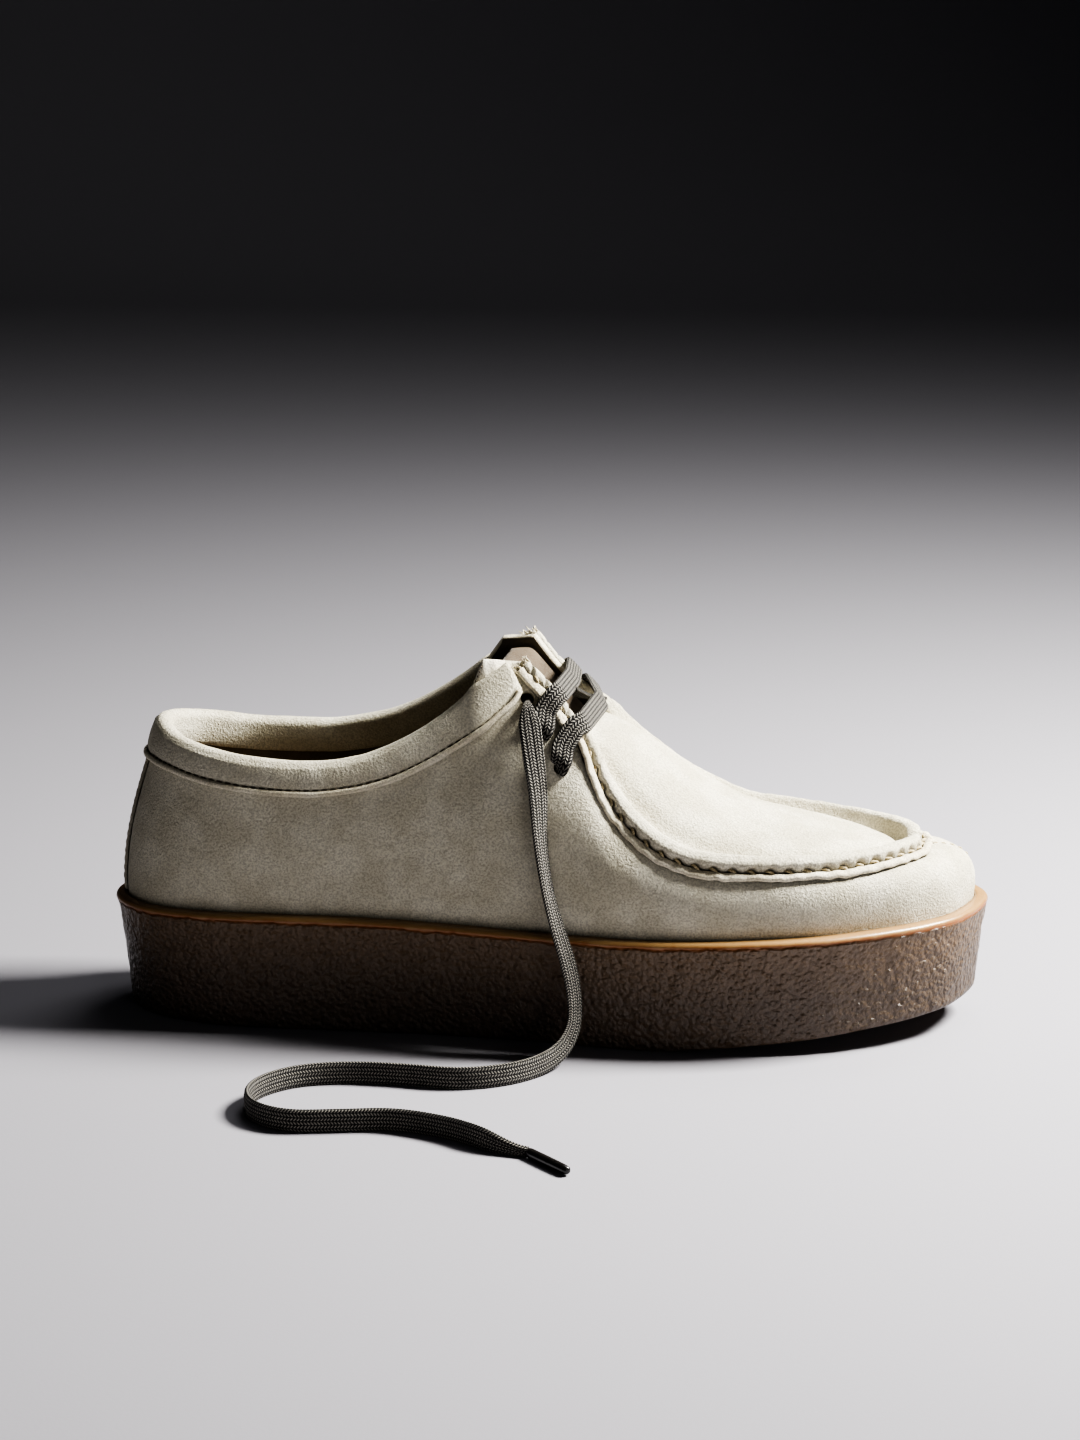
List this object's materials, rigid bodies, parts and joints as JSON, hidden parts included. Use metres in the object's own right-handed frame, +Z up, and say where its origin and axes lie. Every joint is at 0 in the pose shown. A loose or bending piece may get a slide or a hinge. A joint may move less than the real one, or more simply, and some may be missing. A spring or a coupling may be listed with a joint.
{
  "type": "moccasin-toe lace-up shoe",
  "caption": "Low right-foot shoe of light suede with a rolled moccasin apron seam, flat laces and a thick crepe platform sole.",
  "frame": {"origin": "middle of the shoe's length and width on the floor under the sole", "axes": "+X towards the toe, +Y towards the inner side of the foot, +Z up"},
  "size_m": [0.298, 0.2207, 0.1273],
  "materials": {
    "crepe": "pebbled brown crepe rubber with a smooth tan rim",
    "insole_leather": "smooth tan leather",
    "suede": "light sand suede with a fine nap",
    "lace_braid": "flat woven grey cotton lace",
    "aglet_plastic": "dark hard lace tip"
  },
  "bodies": {
    "root": {"sole": "crepe", "insole": "insole_leather", "upper": "suede", "tongue": "suede", "collar_band": "suede", "heel_strip": "suede", "lace_bars": "lace_braid", "lace_end": "lace_braid", "aglet": "aglet_plastic"}
  },
  "joints": []
}
